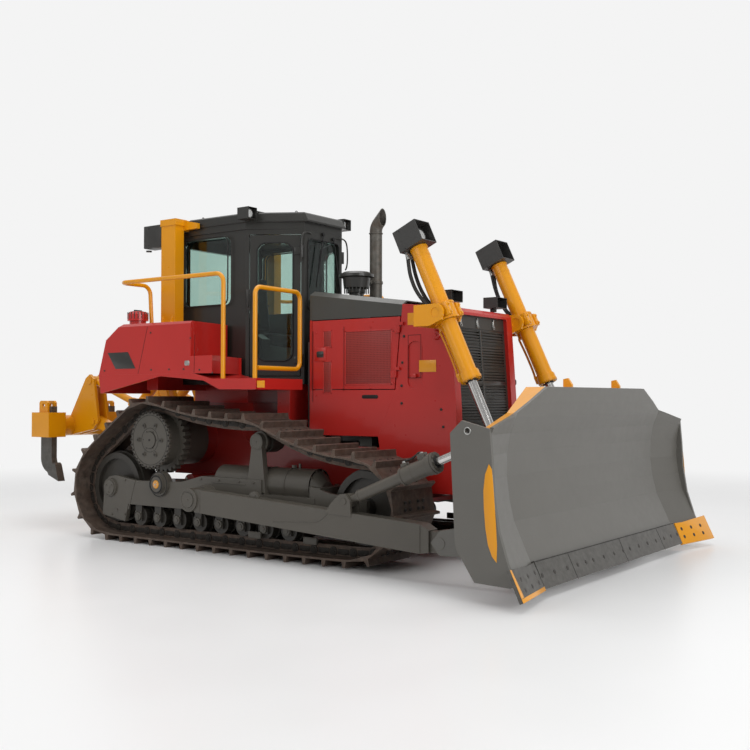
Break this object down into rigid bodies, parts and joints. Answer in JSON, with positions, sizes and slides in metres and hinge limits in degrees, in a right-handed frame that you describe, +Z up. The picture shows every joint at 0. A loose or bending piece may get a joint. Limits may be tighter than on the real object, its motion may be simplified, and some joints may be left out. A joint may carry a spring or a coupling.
{
  "type": "bulldozer",
  "caption": "Tracked bulldozer with raised drive sprockets, a folded push blade on two arms, lift and tilt cylinders, an enclosed cab with roll-over bar and a rear ripper.",
  "frame": {"origin": "on the ground under the middle of the whole machine's bounding box", "axes": "+X forward to the blade, +Y to the machine's left, +Z up"},
  "size_m": [6.7876, 4.008, 3.334],
  "materials": {
    "track_steel": "worn dark steel with earth in the corners",
    "wear_steel": "ground wear steel",
    "yellow_paint": "glossy machine paint",
    "red_paint": "glossy machine paint",
    "grey_paint": "satin paint",
    "dark_paint": "satin paint",
    "black_paint": "satin paint",
    "chrome": "hard chrome",
    "glass": "clear",
    "seat_cover": "woven",
    "lamp_plastic": "lamp housing"
  },
  "bodies": {
    "chassis": {"track_right": "track_steel", "track_frame_right": "yellow_paint", "track_wheels_right": "dark_paint", "final_drive_right": "track_steel", "main_frame": "yellow_paint", "engine_block": "black_paint", "hood": "black_paint", "side_panels": "red_paint", "radiator_guard": "red_paint", "radiator_core": "black_paint", "grille": "black_paint", "lift_brackets": "yellow_paint", "decks": "grey_paint", "fender_right": "yellow_paint", "cab_frame": "black_paint", "cab_mount": "black_paint", "cab_glass": "glass", "cab_roof": "red_paint", "rops": "black_paint", "seat_base": "black_paint", "seat_pads": "seat_cover", "exhaust_stack": "black_paint", "pre_cleaner": "black_paint", "handrails": "black_paint", "ripper_bracket": "yellow_paint", "work_lamps": "lamp_plastic", "track_left": "track_steel", "track_frame_left": "yellow_paint", "track_wheels_left": "dark_paint", "final_drive_left": "track_steel", "fender_left": "yellow_paint"},
    "push_frame": {"push_arm_right": "yellow_paint", "push_arm_left": "yellow_paint"},
    "blade": {"moldboard": "yellow_paint", "blade_frame": "yellow_paint", "end_plates": "yellow_paint", "cutting_edge": "wear_steel", "end_bits": "wear_steel"},
    "lift_barrel_right": {"lift_barrel_right": "yellow_paint", "lift_lamp_right": "lamp_plastic"},
    "lift_rod_right": {"lift_rod_right": "chrome"},
    "tilt_barrel_right": {"tilt_barrel_right": "yellow_paint"},
    "tilt_rod_right": {"tilt_rod_right": "chrome"},
    "cab_door_right": {"cab_door_right": "black_paint", "door_glass_right": "glass"},
    "engine_door_right": {"engine_door_right": "red_paint"},
    "lift_barrel_left": {"lift_barrel_left": "yellow_paint", "lift_lamp_left": "lamp_plastic"},
    "lift_rod_left": {"lift_rod_left": "chrome"},
    "tilt_barrel_left": {"tilt_barrel_left": "yellow_paint"},
    "tilt_rod_left": {"tilt_rod_left": "chrome"},
    "cab_door_left": {"cab_door_left": "black_paint", "door_glass_left": "glass"},
    "engine_door_left": {"engine_door_left": "red_paint"},
    "ripper_link": {"ripper_link": "yellow_paint"},
    "ripper_beam": {"ripper_beam": "yellow_paint", "ripper_shanks": "wear_steel"},
    "ripper_stays": {"ripper_stays": "yellow_paint"},
    "ripper_rams": {"ripper_rams": "yellow_paint"},
    "ripper_rods": {"ripper_rods": "chrome"}
  },
  "joints": [
    {"name": "blade_lift", "type": "hinge", "parent": "chassis", "child": "push_frame", "pos_m": [-0.328, 0, 0.492], "axis": [0, -1, 0], "range_deg": [-5.5, 18.5]},
    {"name": "blade_pitch", "type": "hinge", "parent": "push_frame", "child": "blade", "pos_m": [2.395, 0, 0.322], "axis": [0, -1, 0], "range_deg": [-5, 5]},
    {"name": "lift_trunnion_right", "type": "hinge", "parent": "chassis", "child": "lift_barrel_right", "pos_m": [1.976, -0.708, 2.143], "axis": [0, -1, 0], "range_deg": [-4.38, 14.69]},
    {"name": "lift_stroke_right", "type": "slide", "parent": "lift_barrel_right", "child": "lift_rod_right", "axis": [0.4175, 0, -0.9087], "range_m": [-0.9087, 0.2703]},
    {"name": "tilt_foot_right", "type": "hinge", "parent": "push_frame", "child": "tilt_barrel_right", "pos_m": [1.465, -1.382, 0.585], "axis": [0, -1, 0], "range_deg": [-1.79, 1.79]},
    {"name": "tilt_stroke_right", "type": "slide", "parent": "tilt_barrel_right", "child": "tilt_rod_right", "axis": [0.9264, 0, 0.3765], "range_m": [-0.052, 0.052]},
    {"name": "lift_trunnion_left", "type": "hinge", "parent": "chassis", "child": "lift_barrel_left", "pos_m": [1.976, 0.708, 2.143], "axis": [0, -1, 0], "range_deg": [-4.38, 14.69]},
    {"name": "lift_stroke_left", "type": "slide", "parent": "lift_barrel_left", "child": "lift_rod_left", "axis": [0.4175, 0, -0.9087], "range_m": [-0.9087, 0.2703]},
    {"name": "tilt_foot_left", "type": "hinge", "parent": "push_frame", "child": "tilt_barrel_left", "pos_m": [1.465, 1.382, 0.585], "axis": [0, -1, 0], "range_deg": [-1.79, 1.79]},
    {"name": "tilt_stroke_left", "type": "slide", "parent": "tilt_barrel_left", "child": "tilt_rod_left", "axis": [0.9264, 0, 0.3765], "range_m": [-0.052, 0.052]},
    {"name": "ripper_lift", "type": "hinge", "parent": "chassis", "child": "ripper_link", "pos_m": [-2.08, 0, 0.9], "axis": [0, -1, 0], "range_deg": [-2, 42]},
    {"name": "ripper_level", "type": "hinge", "parent": "ripper_link", "child": "ripper_beam", "pos_m": [-2.806, 0, 1.162], "axis": [0, -1, 0], "range_deg": [-42.02, 2.02]},
    {"name": "ripper_stay", "type": "hinge", "parent": "chassis", "child": "ripper_stays", "pos_m": [-2.142, 0, 1.357], "axis": [0, -1, 0], "range_deg": [-2.02, 42.02]},
    {"name": "ripper_ram", "type": "hinge", "parent": "chassis", "child": "ripper_rams", "pos_m": [-2.01, 0, 1.68], "axis": [0, -1, 0], "range_deg": [-0.45, 8.98]},
    {"name": "ripper_stroke", "type": "slide", "parent": "ripper_rams", "child": "ripper_rods", "axis": [-0.7226, 0, -0.6912], "range_m": [-0.0171, 0.355]},
    {"name": "cab_door_right", "type": "hinge", "parent": "chassis", "child": "cab_door_right", "pos_m": [0.0671, -0.32949, 2.3], "axis": [0, 0, 1], "range_deg": [0, 70]},
    {"name": "engine_door_right", "type": "hinge", "parent": "chassis", "child": "engine_door_right", "pos_m": [1.38094, -0.563, 1.8], "axis": [0.098, 0, 0.9952], "range_deg": [0, 85]},
    {"name": "cab_door_left", "type": "hinge", "parent": "chassis", "child": "cab_door_left", "pos_m": [0.0671, 0.32949, 2.3], "axis": [0, 0, -1], "range_deg": [0, 70]},
    {"name": "engine_door_left", "type": "hinge", "parent": "chassis", "child": "engine_door_left", "pos_m": [1.38094, 0.563, 1.8], "axis": [-0.098, 0, -0.9952], "range_deg": [0, 85]}
  ],
  "couplings": [
    {"joint": "lift_trunnion_right", "follows": "blade_lift", "ratio": 0.7928},
    {"joint": "lift_stroke_right", "follows": "blade_lift", "m_per_rad": -2.8137},
    {"joint": "tilt_foot_right", "follows": "blade_pitch", "ratio": 0.3546},
    {"joint": "tilt_stroke_right", "follows": "blade_pitch", "m_per_rad": -0.5936},
    {"joint": "lift_trunnion_left", "follows": "blade_lift", "ratio": 0.7928},
    {"joint": "lift_stroke_left", "follows": "blade_lift", "m_per_rad": -2.8137},
    {"joint": "tilt_foot_left", "follows": "blade_pitch", "ratio": 0.3546},
    {"joint": "tilt_stroke_left", "follows": "blade_pitch", "m_per_rad": -0.5936},
    {"joint": "ripper_level", "follows": "ripper_lift", "ratio": -1},
    {"joint": "ripper_stay", "follows": "ripper_lift", "ratio": 1},
    {"joint": "ripper_ram", "follows": "ripper_lift", "ratio": 0.2134},
    {"joint": "ripper_stroke", "follows": "ripper_lift", "m_per_rad": 0.484}
  ]
}
